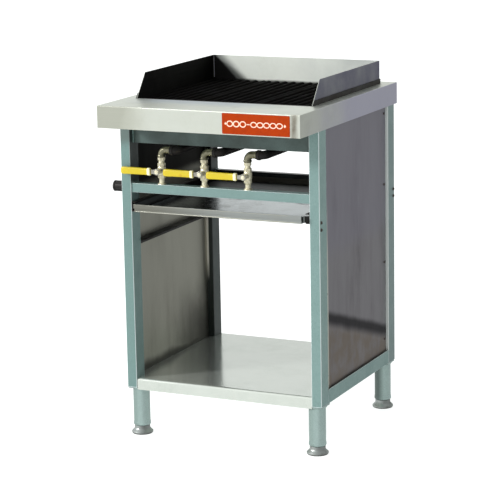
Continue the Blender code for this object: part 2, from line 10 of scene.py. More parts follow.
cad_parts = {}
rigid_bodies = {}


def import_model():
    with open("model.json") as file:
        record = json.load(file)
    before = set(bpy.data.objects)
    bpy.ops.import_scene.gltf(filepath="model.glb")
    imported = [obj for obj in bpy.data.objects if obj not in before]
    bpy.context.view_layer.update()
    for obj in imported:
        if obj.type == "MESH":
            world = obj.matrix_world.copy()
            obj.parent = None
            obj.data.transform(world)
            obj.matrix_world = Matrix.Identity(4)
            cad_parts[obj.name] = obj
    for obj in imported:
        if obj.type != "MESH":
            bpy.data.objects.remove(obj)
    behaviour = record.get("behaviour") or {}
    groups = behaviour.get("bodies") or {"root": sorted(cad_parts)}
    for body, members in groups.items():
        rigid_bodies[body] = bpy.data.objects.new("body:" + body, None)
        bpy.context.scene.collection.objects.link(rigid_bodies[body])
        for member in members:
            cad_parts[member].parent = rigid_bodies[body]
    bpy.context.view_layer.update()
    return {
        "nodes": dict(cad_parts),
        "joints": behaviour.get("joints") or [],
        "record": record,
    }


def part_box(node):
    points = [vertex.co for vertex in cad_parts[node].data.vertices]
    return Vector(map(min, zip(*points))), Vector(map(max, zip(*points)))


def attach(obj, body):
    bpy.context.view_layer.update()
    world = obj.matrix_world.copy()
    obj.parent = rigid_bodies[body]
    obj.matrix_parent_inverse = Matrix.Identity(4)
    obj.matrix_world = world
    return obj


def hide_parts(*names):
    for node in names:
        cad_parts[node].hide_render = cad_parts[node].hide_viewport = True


for startup in list(bpy.data.objects):
    bpy.data.objects.remove(startup, do_unlink=True)

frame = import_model()

SIDES = {"left": -1, "right": 1}
PLACES = ("left", "centre", "right")
X, Y, Z = Vector((1, 0, 0)), Vector((0, 1, 0)), Vector((0, 0, 1))

DECK_LOW, DECK_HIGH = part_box("deck_pan")
CENTRE_X = (DECK_LOW.x + DECK_HIGH.x) / 2


# ---------------------------------------------------------------- materials


def srgb(red, green, blue):
    """A colour given as 0 to 255 display values, as the linear values that a shader takes."""
    linear = []
    for value in (red, green, blue):
        value /= 255
        linear.append(value / 12.92 if value <= 0.04045 else ((value + 0.055) / 1.055) ** 2.4)
    return (*linear, 1)


MATERIALS = {}  # every finish by its name


class Shader:
    """One material's node tree, with short ways to add nodes and join them."""

    def __init__(self, name, colour, metallic, roughness, **sockets):
        self.material = MATERIALS[name] = bpy.data.materials.new(name)
        self.material.use_nodes = True
        self.material.diffuse_color = colour
        self.tree = self.material.node_tree
        self.surface = self.tree.nodes["Principled BSDF"]
        self.surface.inputs["Base Color"].default_value = colour
        self.surface.inputs["Metallic"].default_value = metallic
        self.surface.inputs["Roughness"].default_value = roughness
        for socket, value in sockets.items():
            self.surface.inputs[socket.replace("_", " ")].default_value = value

    def add(self, kind, links=(), **settings):
        """A node of that kind, with its settings, its inputs set or linked by name or number."""
        node = self.tree.nodes.new(f"ShaderNode{kind}")
        for setting, value in settings.items():
            setattr(node, setting, value)
        for socket, value in dict(links).items():
            if isinstance(value, bpy.types.NodeSocket):
                self.tree.links.new(value, node.inputs[socket])
            else:
                node.inputs[socket].default_value = value
        return node

    def join(self, output, socket):
        self.tree.links.new(output, self.surface.inputs[socket])

    def place(self):
        return self.add("TexCoord").outputs["Object"]

    def noise(self, scale, detail=4, stretch=(1, 1, 1), roughness=0.55):
        spread = self.add("Mapping", {"Vector": self.place(), "Scale": stretch})
        settings = {"Vector": spread.outputs[0], "Scale": scale, "Detail": detail, "Roughness": roughness}
        return self.add("TexNoise", settings).outputs["Fac"]

    def remap(self, value, start, end, low=0.0, high=1.0):
        settings = {0: value, 1: start, 2: end, 3: low, 4: high}
        return self.add("MapRange", settings).outputs[0]

    def math(self, operation, first, second):
        return self.add("Math", {0: first, 1: second}, operation=operation).outputs[0]

    def mix(self, share, first, second):
        node = self.add("Mix", {0: share, 6: first, 7: second}, data_type="RGBA")
        return node.outputs[2]

    def along(self, axis, start, end, waver=0.0):
        """Rises from 0 to 1 between two distances along an axis, wavering a little."""
        settings = {0: self.place(), 1: axis}
        value = self.add("VectorMath", settings, operation="DOT_PRODUCT").outputs["Value"]
        if waver:
            shift = self.remap(self.noise(9.0, detail=5), 0.3, 0.7, -waver, waver)
            value = self.math("ADD", value, shift)
        return self.add("MapRange", {0: value, 1: start, 2: end}, interpolation_type="SMOOTHSTEP").outputs[0]

    def facing(self, direction, start=0.3, end=0.7):
        """1 on faces that look along a direction of the object, 0 on the others."""
        normal = self.add("TexCoord").outputs["Normal"]
        dot = self.add("VectorMath", {0: normal, 1: direction}, operation="DOT_PRODUCT").outputs["Value"]
        return self.remap(dot, start, end)

    def corners(self):
        """1 along rounded corners between square faces, 0 on the faces."""
        normal = self.add("SeparateXYZ", {0: self.add("TexCoord").outputs["Normal"]})
        x, y, z = (self.math("ABSOLUTE", normal.outputs[i], 0.0) for i in range(3))
        return self.remap(self.math("MAXIMUM", self.math("MAXIMUM", x, y), z), 0.992, 0.93)

    def product(self, *factors):
        value = factors[0]
        for factor in factors[1:]:
            value = self.math("MULTIPLY", value, factor)
        return value

    def edges(self, radius):
        """1 on sharp edges and 0 on the flat."""
        rounded = self.add("Bevel", {"Radius": radius}, samples=4).outputs[0]
        flat = self.add("NewGeometry").outputs["Normal"]
        facing = self.add("VectorMath", {0: rounded, 1: flat}, operation="DOT_PRODUCT").outputs["Value"]
        return self.remap(facing, 0.97, 0.8)

    def bump(self, height, strength, distance, below=None):
        links = {"Height": height, "Strength": strength, "Distance": distance}
        if below:
            links["Normal"] = below
        return self.add("Bump", links).outputs[0]


def sheet_metal(
    name, colour, soiled, roughness, grain, sheen=0.10, soil=0.5, metallic=1.0, run=(1, 1, 1), stains_and_painted_light=()
):
    """Brushed sheet: fine lines along one axis, smudges that may run one way, a slight waviness, any stains
    and any painted light.

    A stain, like each patch of painted light, is a colour and a function that draws where it lies.
    """
    made = Shader(name, colour, metallic, roughness)
    lines = made.noise(1.0, detail=3, stretch=grain, roughness=0.7)
    smudge = made.noise(7.0, detail=6, stretch=run, roughness=0.62)
    cloud = made.noise(31.0, detail=5, stretch=run, roughness=0.7)
    marks = made.math("MULTIPLY", made.remap(smudge, 0.42, 0.72), made.remap(cloud, 0.30, 0.65))
    tint = made.mix(made.math("MULTIPLY", marks, soil), colour, soiled)
    rough = made.remap(lines, 0.3, 0.7, roughness - sheen / 2, roughness + sheen / 2)
    rough = made.math("ADD", rough, made.math("MULTIPLY", marks, 0.12))
    for overlay, where in stains_and_painted_light:
        share = where(made)
        tint = made.mix(share, tint, overlay)
        rough = made.math("ADD", rough, made.math("MULTIPLY", share, 0.25))
    made.join(tint, "Base Color")
    made.join(rough, "Roughness")
    wave = made.bump(made.noise(3.0, detail=1), 0.10, 0.004)
    made.join(made.bump(lines, 0.10, 0.0002, wave), "Normal")


# The frame paint, its darker tone in the dimples, and the pale colour of the painted corner highlights.
TEAL, DEEP_TEAL, CORNER_HIGHLIGHT = srgb(129, 157, 154), srgb(104, 132, 128), srgb(236, 246, 246)


def hammered_paint(name, stains_and_painted_light=(), colour=TEAL, deep=DEEP_TEAL, metallic=0.25, worn=0.9):
    """Thick hammer-finish paint, darker in its dimples, with painted highlights along its rounded corners and
    a few chips; worn sets how strong those highlights are.
    """
    made = Shader(name, colour, metallic, 0.38, Coat_Weight=0.25, Coat_Roughness=0.22)
    dimples = made.add("TexVoronoi", {"Vector": made.place(), "Scale": 420.0}, feature="SMOOTH_F1").outputs[0]
    cloud = made.noise(18.0, detail=6, roughness=0.65)
    shade = made.mix(made.remap(dimples, 0.15, 0.75, 0.0, 0.6), colour, deep)
    shade = made.mix(made.remap(cloud, 0.40, 0.75, 0.0, 0.45), shade, deep)
    if worn:
        # Painted highlights along the rounded corners.
        shade = made.mix(made.product(made.corners(), worn), shade, CORNER_HIGHLIGHT)
    chips = made.product(made.edges(0.0012), made.remap(made.noise(60.0), 0.54, 0.60))
    shade = made.mix(chips, shade, deep)
    for overlay, where in stains_and_painted_light:
        shade = made.mix(where(made), shade, overlay)
    made.join(shade, "Base Color")
    made.join(made.remap(cloud, 0.3, 0.7, 0.30, 0.50), "Roughness")
    made.join(made.bump(dimples, 0.12, 0.0004), "Normal")


def rough_iron(name, colour, burnt, roughness, size, bump, metallic=0.0, gleam=0.3):
    """Cast or heat-blackened iron: sandy skin, burnt patches and a greasy gleam in places."""
    made = Shader(name, colour, metallic, roughness, Specular_IOR_Level=gleam)
    sand = made.noise(size, detail=8, roughness=0.7)
    patch = made.noise(14.0, detail=5)
    made.join(made.mix(made.remap(patch, 0.45, 0.72), colour, burnt), "Base Color")
    made.join(made.remap(patch, 0.30, 0.70, roughness - 0.16, roughness + 0.14), "Roughness")
    made.join(made.bump(sand, bump, 0.0008), "Normal")


def plated_metal(name, colour, tarnish, roughness, metallic=1.0):
    """Plated brass or steel fittings: fine casting skin, tarnish in the hollows, bright edges."""
    made = Shader(name, colour, metallic, roughness)
    skin = made.noise(420.0, detail=4)
    cloud = made.noise(55.0, detail=5, roughness=0.65)
    overlay = made.remap(cloud, 0.48, 0.72, 0.0, 0.75)
    bright = made.math("MULTIPLY", made.edges(0.0006), 0.7)
    worn = made.mix(overlay, colour, tarnish)
    made.join(made.mix(bright, worn, srgb(236, 234, 222)), "Base Color")
    made.join(made.remap(cloud, 0.3, 0.7, roughness - 0.08, roughness + 0.16), "Roughness")
    made.join(made.bump(skin, 0.12, 0.0003), "Normal")


def dipped_vinyl(name, colour, dirty):
    """Soft vinyl over a lever: a slight orange-peel skin, hand dirt and a faint sheen."""
    made = Shader(name, colour, 0.0, 0.42, Coat_Weight=0.2, Coat_Roughness=0.3)
    peel = made.noise(650.0, detail=2)
    dirt = made.noise(70.0, detail=6, roughness=0.7)
    rubbed = made.math("MULTIPLY", made.edges(0.001), 0.25)
    handled = made.math("MAXIMUM", made.remap(dirt, 0.58, 0.78), rubbed)
    made.join(made.mix(handled, colour, dirty), "Base Color")
    made.join(made.remap(dirt, 0.3, 0.7, 0.34, 0.52), "Roughness")
    made.join(made.bump(peel, 0.10, 0.0003), "Normal")


def enamel(name, colour, deep, roughness=0.3):
    """Baked enamel on a plate, slightly uneven and dulled towards its edges."""
    made = Shader(name, colour, 0.0, roughness, Specular_IOR_Level=0.12)
    cloud = made.noise(45.0, detail=6, roughness=0.7)
    dull = made.math("MAXIMUM", made.remap(cloud, 0.50, 0.78), made.math("MULTIPLY", made.edges(0.0008), 0.8))
    made.join(made.mix(dull, colour, deep), "Base Color")
    made.join(made.remap(cloud, 0.3, 0.7, roughness - 0.05, roughness + 0.15), "Roughness")
    made.join(made.bump(made.noise(260.0, detail=3), 0.08, 0.0003), "Normal")


def rubber(name, colour):
    made = Shader(name, colour, 0.0, 0.75)
    grit = made.noise(500.0, detail=4)
    made.join(made.mix(made.remap(grit, 0.45, 0.75), colour, srgb(70, 68, 64)), "Base Color")
    made.join(made.remap(grit, 0.3, 0.7, 0.65, 0.9), "Roughness")
    made.join(made.bump(grit, 0.3, 0.0004), "Normal")


# How a brushed grain is stretched along each axis, the directions that faces look in, and where stains and
# painted light lie.
ALONG_X, ALONG_Y, ALONG_Z = (4, 900, 900), (900, 4, 900), (900, 900, 4)
FRONT, BACK, LEFT, RIGHT, UP, UNDER = (0, -1, 0), (0, 1, 0), (-1, 0, 0), (1, 0, 0), (0, 0, 1), (0, 0, -1)
# Near black: burnt grease, and also painted shade and painted shadow inside the bay and the well.
SOOT_AND_SHADE = srgb(22, 21, 20)
BAY_SHADE_HEIGHTS = (0.700, 0.735)  # heights between which the bay's painted shade fades in
FOOT_SIDE = (-0.9, -0.42, 0)  # the left of a foot, and a little to the front
# The next two lines place the painted shadow in the back plate's left corner.
GUARD_FALL = X + Z  # across the back plate, falling to the right at 45 degrees
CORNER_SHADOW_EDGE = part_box("splash_guard_rear")[0].x + 1.043  # where its black corner ends, measured along that
BAND_SLOPE = 0.32 * Y + Z  # across a side panel, falling gently towards the back
BAND_FOOT, BAND_TOP = 0.300, 0.360  # the painted reflection band's two edges, measured along that
GLINT_END = -0.155  # the back edge of the bright strip along the right panel's front
BURN_TOP = 0.976  # the height up to which the back plate is burnt


def corner_tarnish(made):
    """A brown bloom down the right end of the deck's front fold."""
    start = CENTRE_X + 0.272
    bloom = made.product(made.along(X, start, start + 0.012), made.along(X, start + 0.030, start + 0.016))
    patches = made.remap(made.noise(30.0), 0.25, 0.6, 0.35, 0.8)
    return made.product(bloom, made.facing(FRONT), patches)


def left_end_film(made):
    """A duller tone on the left end of the deck's front fold."""
    return made.product(made.facing(FRONT), made.along(X, -0.10, -0.22, 0.02), 0.9)


def well_haze(made):
    """A grey haze on the deck in front of the cooking well, thickest in the middle."""
    near = made.product(made.along(Y, -0.300, -0.215, 0.02), made.facing(UP))
    return made.product(near, made.along(X, -0.290, -0.150, 0.03), made.along(X, 0.26, 0.02, 0.03), 0.6)


def right_side_shade(made):
    """Painted shade on the deck's right side, which deepens towards the back."""
    return made.product(made.facing(RIGHT), made.along(Y, -0.36, 0.05, 0.05))


def guard_inner_shade(made):
    """Painted shade and a painted reflection of the dark grates: black over the face that looks into the
    well.
    """
    return made.facing(RIGHT, 0.4, 0.6)


def guard_outer_shade(made):
    """Painted shade: a darker blue-grey, in patches, over the outer face that looks right."""
    patches = made.remap(made.noise(11.0, detail=5), 0.3, 0.7, 0.75, 1.0)
    return made.product(made.facing(RIGHT, 0.4, 0.6), patches)


def guard_foot_burn(made):
    """Burnt grease low down on the back plate."""
    low = made.along(Z, BURN_TOP, BURN_TOP - 0.008, 0.002)
    return made.product(low, made.facing(FRONT), 0.85)


def corner_shadow(made):
    """Painted shadow of the left guard: black in the back plate's left corner, below a line that falls to the
    right.
    """
    corner = made.along(GUARD_FALL, CORNER_SHADOW_EDGE + 0.012, CORNER_SHADOW_EDGE - 0.002, 0.003)
    return made.product(corner, made.facing(FRONT))


def corner_penumbra(made):
    """A grey painted penumbra beyond that painted shadow."""
    beyond = made.along(GUARD_FALL, CORNER_SHADOW_EDGE + 0.052, CORNER_SHADOW_EDGE + 0.010, 0.005)
    return made.product(beyond, made.facing(FRONT), 0.85)


def bay_shade(made):
    """Painted shade: black on the inner side of a panel, above the manifold."""
    left = made.product(made.facing(RIGHT), made.along(X, 0.05, -0.05))
    right = made.product(made.facing(LEFT), made.along(X, -0.05, 0.05))
    inner = made.math("MAXIMUM", left, right)
    return made.product(inner, made.along(Z, *BAY_SHADE_HEIGHTS, 0.004), 0.95)


def panel_reflection_band(made):
    """A painted reflection: a dark band that falls towards the back across the lower part of the right
    panel's outer face.
    """
    lower = made.along(BAND_SLOPE, BAND_FOOT, BAND_FOOT + 0.030, 0.003)
    upper = made.along(BAND_SLOPE, BAND_TOP, BAND_TOP - 0.022, 0.003)
    return made.product(lower, upper, made.facing(RIGHT), 0.9)


def panel_warmth(made):
    """A warmer tone below the band, in patches."""
    patches = made.remap(made.noise(24.0, detail=6), 0.35, 0.6, 0.35, 0.9)
    below = made.along(BAND_SLOPE, BAND_FOOT + 0.032, BAND_FOOT - 0.008, 0.004)
    return made.product(below, made.facing(RIGHT), patches)


def panel_upper(made):
    """A cooler tone above the height of the ledge."""
    return made.product(made.along(Z, 0.520, 0.600, 0.010), 0.5)


def panel_glint(made):
    """A bright strip along the front edge of the right panel's outer face."""
    edge = made.along(Y, GLINT_END + 0.0025, GLINT_END)
    return made.product(edge, made.along(Z, 0.75, 0.50, 0.02), made.facing(RIGHT), 0.95)


def panel_foot_shade(made):
    """A darker tone along the foot of the panel and low down at its back."""
    corner = made.product(made.along(Y, -0.02, 0.24, 0.03), made.along(Z, 0.42, 0.20, 0.03))
    return made.product(made.math("MAXIMUM", corner, made.along(Z, 0.205, 0.175, 0.006)), 0.8)


def rear_bay_shade(made):
    """Painted shade: black above the manifold's height, except on faces that look to the back."""
    return made.product(made.along(Z, *BAY_SHADE_HEIGHTS, 0.004), made.facing(BACK, 0.7, 0.3), 0.93)


def right_leg_bay_shade(made):
    """Painted shade: black on the right rear leg's face towards the bay."""
    return made.product(made.along(Z, *BAY_SHADE_HEIGHTS, 0.004), made.facing(LEFT), 0.93)


def standing_edge_highlight(made):
    """A painted highlight: a pale front strip where the leg stands out past the side panel."""
    return made.product(made.facing(FRONT), made.along(X, 0.300, 0.304), 0.85)


def front_face_shade(made):
    """Painted shade: a dark tone over the front face."""
    return made.product(made.facing(FRONT), 0.93)


def deck_shade(made):
    """A darker tone at the top of the front face, under the deck's edge."""
    return made.product(made.facing(FRONT), made.along(Z, 0.835, 0.870, 0.006), 0.75)


def foot_side_shade(made):
    """Painted shade: a darker tone on the left of each foot."""
    return made.product(made.facing(FOOT_SIDE, 0.05, 0.6), 0.6)


def foot_shade(made):
    """A further darkening on the same side of the right rear foot."""
    place = made.product(made.along(X, 0.1, 0.2), made.along(Y, 0.1, 0.2))
    return made.product(made.facing(FOOT_SIDE, -0.1, 0.6), place, 0.6)


def front_leg_bay_shade(made):
    """Painted shade: black on a front leg's inner face, between the manifold and the deck."""
    inner = made.product(made.facing(RIGHT), made.along(X, 0.05, -0.05))
    return made.product(inner, made.along(Z, 0.730, 0.745, 0.004), 0.85)


def leg_outer_shade(made):
    """Painted shade: a darker tone over the outer face."""
    return made.product(made.facing(RIGHT), 0.45)


def rear_dulling(made):
    """A duller tone on the back plate, deeper towards the right."""
    return made.product(made.facing(FRONT), made.along(X, -0.02, 0.25, 0.05), 0.8)


def inner_shade(made):
    """Painted shade: a dark tone on the face that looks into the bay."""
    return made.product(made.facing(RIGHT), 0.86)


def deck_shadow_clouds(made):
    """Painted shadow of the deck: a dark, cloudy tone over the front of the paint under it."""
    clouds = made.remap(made.noise(9.0, detail=4), 0.25, 0.75, 0.62, 0.92)
    return made.product(clouds, made.facing(FRONT))


def lit_front_strip(made):
    """Painted light: a pale strip down the left of the front face, from above the shelf upwards."""
    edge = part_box("leg_rear_left")[0].x + 0.0165
    strip = made.along(X, edge + 0.0015, edge - 0.0015)
    return made.product(made.facing(FRONT), made.along(Z, 0.34, 0.42, 0.02), strip, 0.95)


def lip_darkening(made):
    """A darker tone over the tray's front, heavier towards its left end."""
    share = made.remap(made.along(X, 0.12, -0.22), 0.0, 1.0, 0.45, 0.9)
    return made.product(made.facing(FRONT), share)


def burnt_grease(made):
    """Burnt drippings over the back of the tray, with a wavy front edge."""
    return made.product(made.along(Y, 0.010, 0.060, 0.030), made.facing(UNDER, 0.7, 0.3), 0.91)


def runner_gap_shade(made):
    """Painted shade: a dark tone on the tray's sides, next to the channels."""
    wall, channel = 0.2570, 0.2585
    right = made.along(X, CENTRE_X + wall, CENTRE_X + channel)
    left = made.along(X, CENTRE_X - wall, CENTRE_X - channel)
    return made.product(made.math("MAXIMUM", left, right), 0.9)


def rail_shade(made):
    """Painted shade: a cloudy black all over the rear cross rail."""
    return made.remap(made.noise(20.0, detail=5), 0.2, 0.6, 0.75, 0.96)


PALE_STEEL, DULL_STEEL = srgb(228, 232, 222), srgb(196, 198, 182)
PANEL_STEEL, PANEL_SOIL = srgb(150, 148, 153), srgb(108, 102, 106)
LEFT_STEEL, LEFT_SOIL = srgb(178, 178, 166), srgb(146, 142, 132)
GUARD_STEEL, GUARD_SOIL = srgb(236, 240, 232), srgb(214, 218, 208)
SHELF_STEEL, SHELF_SOIL = srgb(228, 234, 226), srgb(204, 212, 202)
FOOT_PALE, FOOT_DEEP = srgb(186, 208, 204), srgb(152, 174, 170)
STREAKS = (1, 1, 0.22)  # stretches a panel's smudges up and down

sheet_metal("stainless", PALE_STEEL, DULL_STEEL, 0.36, ALONG_X, stains_and_painted_light=(
    (srgb(178, 180, 168), left_end_film),
    (srgb(92, 76, 58), corner_tarnish),
    (srgb(180, 190, 204), well_haze),
    (srgb(214, 214, 228), right_side_shade),
))
sheet_metal("guard_left", PALE_STEEL, DULL_STEEL, 0.36, ALONG_Y, stains_and_painted_light=(
    (SOOT_AND_SHADE, guard_inner_shade),
))
sheet_metal("guard_right", PALE_STEEL, DULL_STEEL, 0.36, ALONG_Y, stains_and_painted_light=(
    (srgb(132, 132, 150), guard_outer_shade),
))
sheet_metal("guard_rear", GUARD_STEEL, GUARD_SOIL, 0.55, ALONG_X, metallic=0.35, stains_and_painted_light=(
    (srgb(190, 194, 192), rear_dulling),
    (srgb(104, 108, 106), corner_penumbra),
    (SOOT_AND_SHADE, corner_shadow),
    (SOOT_AND_SHADE, guard_foot_burn),
))
sheet_metal("side_steel", PANEL_STEEL, PANEL_SOIL, 0.32, ALONG_Z, 0.10, 0.6, run=STREAKS, stains_and_painted_light=(
    (srgb(164, 162, 176), panel_upper),
    (srgb(152, 142, 132), panel_warmth),
    (srgb(46, 45, 48), panel_reflection_band),
    (srgb(236, 238, 228), panel_glint),
    (SOOT_AND_SHADE, bay_shade),
))
sheet_metal("left_panel", LEFT_STEEL, LEFT_SOIL, 0.36, ALONG_Z, 0.10, 0.6, run=STREAKS, stains_and_painted_light=(
    (srgb(66, 66, 62), panel_foot_shade),
    (SOOT_AND_SHADE, bay_shade),
))
sheet_metal("polished_steel", SHELF_STEEL, SHELF_SOIL, 0.14, ALONG_X, 0.06, metallic=0.75)
sheet_metal("tray_steel", srgb(200, 208, 210), srgb(168, 170, 160), 0.22, ALONG_X, stains_and_painted_light=(
    (srgb(44, 46, 43), burnt_grease),
    (srgb(126, 124, 112), lip_darkening),
    (srgb(30, 29, 28), runner_gap_shade),
))
sheet_metal("tray_bead", srgb(196, 196, 184), srgb(150, 146, 134), 0.30, ALONG_X)
hammered_paint("frame_paint")
hammered_paint("apron_paint", (
    (srgb(42, 48, 43), deck_shadow_clouds),
))
# A darker copy of the frame paint for the front left leg: painted shade, with more painted shade under the
# deck and in the bay.
hammered_paint("front_leg_paint", colour=srgb(118, 147, 144), stains_and_painted_light=(
    (srgb(92, 102, 98), deck_shade),
    (SOOT_AND_SHADE, front_leg_bay_shade),
))
# The rear apron's paint, with painted shade above the manifold.
hammered_paint("shaded_paint", (
    (SOOT_AND_SHADE, rear_bay_shade),
))
hammered_paint("rear_leg_paint", (
    (srgb(100, 110, 114), leg_outer_shade),
    (srgb(238, 244, 240), standing_edge_highlight),
    (SOOT_AND_SHADE, right_leg_bay_shade),
))
hammered_paint("bay_paint", (
    (srgb(26, 27, 24), front_face_shade),
    (srgb(250, 244, 232), lit_front_strip),
    (srgb(26, 30, 28), inner_shade),
    (SOOT_AND_SHADE, rear_bay_shade),
))
hammered_paint("weld_paint", worn=0.0)
hammered_paint("shaded_rail_paint", (
    (SOOT_AND_SHADE, rail_shade),
))
hammered_paint("foot_steel", colour=FOOT_PALE, deep=FOOT_DEEP, metallic=0.45, worn=0.0, stains_and_painted_light=(
    (srgb(88, 106, 100), foot_side_shade),
    (srgb(52, 62, 60), foot_shade),
))
rough_iron("black_iron", srgb(30, 29, 29), srgb(46, 40, 36), 0.50, 300.0, 0.25)
rough_iron("cast_iron", srgb(12, 11, 11), srgb(20, 18, 16), 0.80, 380.0, 0.35, 0.0, 0.03)
# The elbows' plating, darker than the valves' nickel: painted shade and painted reflection.
plated_metal("shaded_elbow_plating", srgb(150, 147, 124), srgb(62, 60, 46), 0.28)
plated_metal("nickel", srgb(246, 240, 212), srgb(186, 172, 134), 0.30, 0.5)
plated_metal("lever_steel", srgb(190, 188, 178), srgb(120, 116, 106), 0.30)
plated_metal("dark_screw", srgb(108, 100, 96), srgb(60, 54, 52), 0.40)
plated_metal("foot_zinc", srgb(176, 182, 180), srgb(120, 122, 116), 0.34)
dipped_vinyl("yellow_sleeve", srgb(208, 186, 22), srgb(190, 136, 20))
dipped_vinyl("sleeve_collar", srgb(250, 246, 206), srgb(222, 206, 140))
enamel("badge_red", srgb(168, 54, 0), srgb(144, 42, 0))
enamel("badge_white", srgb(250, 220, 200), srgb(238, 170, 140), 0.35)
rubber("pad_rubber", srgb(48, 47, 46))

# Nodes whose finish differs from the rest of their slot.
LOOKS = {
    "splash_guard_left": "guard_left",
    "splash_guard_right": "guard_right",
    "splash_guard_rear": "guard_rear",
    "drip_tray": "tray_steel",
    "side_panel_left": "left_panel",
    "front_apron": "apron_paint",
    "leg_front_left": "front_leg_paint",
    "leg_rear_left": "bay_paint",
    "leg_rear_right": "rear_leg_paint",
    "rear_apron": "shaded_paint",
    "rear_cross_rail": "shaded_rail_paint",
}


# ---------------------------------------------------------------- mesh tools


def loft(shape, rings, closed=False):
    """Skins rings of equally many points, capping the two ends unless they join."""
    made = [[shape.verts.new(point) for point in ring] for ring in rings]
    pairs = list(zip(made, made[1:]))
    if closed:
        pairs.append((made[-1], made[0]))
    else:
        shape.faces.new(reversed(made[0]))
        shape.faces.new(made[-1])
    count = len(made[0])
    for near, far in pairs:
        for i in range(count):
            j = (i + 1) % count
            shape.faces.new((near[i], near[j], far[j], far[i]))


def across(axis):
    """Two unit vectors square to an axis, so that the three turn the right-handed way."""
    first = axis.orthogonal().normalized()
    for world in (X, Y, Z):
        if abs(axis.dot(world)) < 1e-6:
            first = world.copy()
            break
    return first, axis.cross(first).normalized()


def circle(centre, axis, radius, steps, turn=0.0):
    """Points round a circle that lies square to an axis."""
    u, v = across(axis)
    angles = [turn + 2 * pi * i / steps for i in range(steps)]
    return [centre + radius * (cos(a) * u + sin(a) * v) for a in angles]


def turned(shape, profile, at, axis=Z, steps=48, closed=False):
    """A profile of (radius, height) turned about an axis through a point."""
    at, axis = Vector(at), Vector(axis).normalized()
    rings = [circle(at + axis * height, axis, max(radius, 0.00005), steps) for radius, height in profile]
    loft(shape, rings, closed)


def hexagon(shape, radius, start, end, at, axis=Z, ease=0.0008):
    """A hexagonal nut or collar with its corners eased at both ends."""
    at, axis = Vector(at), Vector(axis).normalized()
    profile = [(radius - ease, start), (radius, start + ease), (radius, end - ease), (radius - ease, end)]
    loft(shape, [circle(at + axis * h, axis, r, 6, pi / 6) for r, h in profile])


def sweep(shape, points, radii, steps=32):
    """A round bar along points, with one radius or one for each point."""
    points = [Vector(p) for p in points]
    if not isinstance(radii, (list, tuple)):
        radii = [radii] * len(points)
    directions = []
    for i in range(len(points)):
        before, after = points[max(i - 1, 0)], points[min(i + 1, len(points) - 1)]
        directions.append((after - before).normalized())
    u = directions[0].orthogonal().normalized()
    rings = []
    for point, direction, radius in zip(points, directions, radii):
        u = (u - direction * u.dot(direction)).normalized()
        v = direction.cross(u)
        angles = [2 * pi * i / steps for i in range(steps)]
        rings.append([point + radius * (cos(a) * u + sin(a) * v) for a in angles])
    loft(shape, rings)


def block(shape, low, high):
    """A box between two corners."""
    low, high = Vector(low), Vector(high)
    made = bmesh.ops.create_cube(shape, size=1)["verts"]
    bmesh.ops.scale(shape, vec=high - low, verts=made)
    bmesh.ops.translate(shape, vec=(low + high) / 2, verts=made)


def prism(shape, outline, axis, start, end):
    """A flat outline of points, carried from start to end along an axis."""
    loft(shape, [[Vector(p) + axis * start for p in outline], [Vector(p) + axis * end for p in outline]])


def arc(centre, radius, start, end, steps):
    angles = [start + (end - start) * i / steps for i in range(steps + 1)]
    return [(centre[0] + radius * cos(a), centre[1] + radius * sin(a)) for a in angles]


def rounded_outline(half_width, half_height, radius, steps=5):
    """Points round a rectangle with rounded corners, about its centre."""
    w, h = half_width - radius, half_height - radius
    corners = (((w, h), 0), ((-w, h), pi / 2), ((-w, -h), pi), ((w, -h), 3 * pi / 2))
    return [p for centre, start in corners for p in arc(centre, radius, start, start + pi / 2, steps)]


def piece(name, shape, slot, body, replaces=(), bevel=0.0, angle=0.6, look=None):
    """Turns a finished shape into a piece that rides on a body and takes a slot's finish."""
    bmesh.ops.recalc_face_normals(shape, faces=shape.faces)
    mesh = bpy.data.meshes.new(name)
    shape.to_mesh(mesh)
    shape.free()
    mesh.shade_smooth()
    mesh.set_sharp_from_angle(angle=angle)
    made = bpy.data.objects.new(name, mesh)
    bpy.context.scene.collection.objects.link(made)
    mesh.materials.append(MATERIALS[look or slot])
    if bevel:
        soften(made, bevel)
    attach(made, body)
    if replaces:
        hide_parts(*replaces)


def soften(made, width, segments=2):
    """Rounds the sharp edges of an object by a small width."""
    ease = made.modifiers.new("eased edges", "BEVEL")
    ease.width = width
    ease.segments = segments
    ease.limit_method = "ANGLE"
    ease.angle_limit = 0.6
    ease.harden_normals = True


# ---------------------------------------------------------------- CAD nodes


def dress_cad_nodes():
    """Gives each CAD node its finish, and eases the edges of the folded and square pieces."""
    slots = {entry["node"]: entry["material_slot"] for entry in frame["record"]["subparts"]}
    for name, node in frame["nodes"].items():
        node.data.materials.clear()
        node.data.materials.append(MATERIALS[LOOKS.get(name, slots[name])])
        weld = node.modifiers.new("weld", "WELD")
        weld.merge_threshold = 0.00002
        if name.startswith("leg_"):
            soften(node, 0.0028, 4)
        elif name.startswith(("splash_guard", "side_panel")):
            soften(node, 0.0004)
        elif name == "deck_pan":
            soften(node, 0.0010, 3)
        else:
            soften(node, 0.0008)


# ---------------------------------------------------------------- cooking top


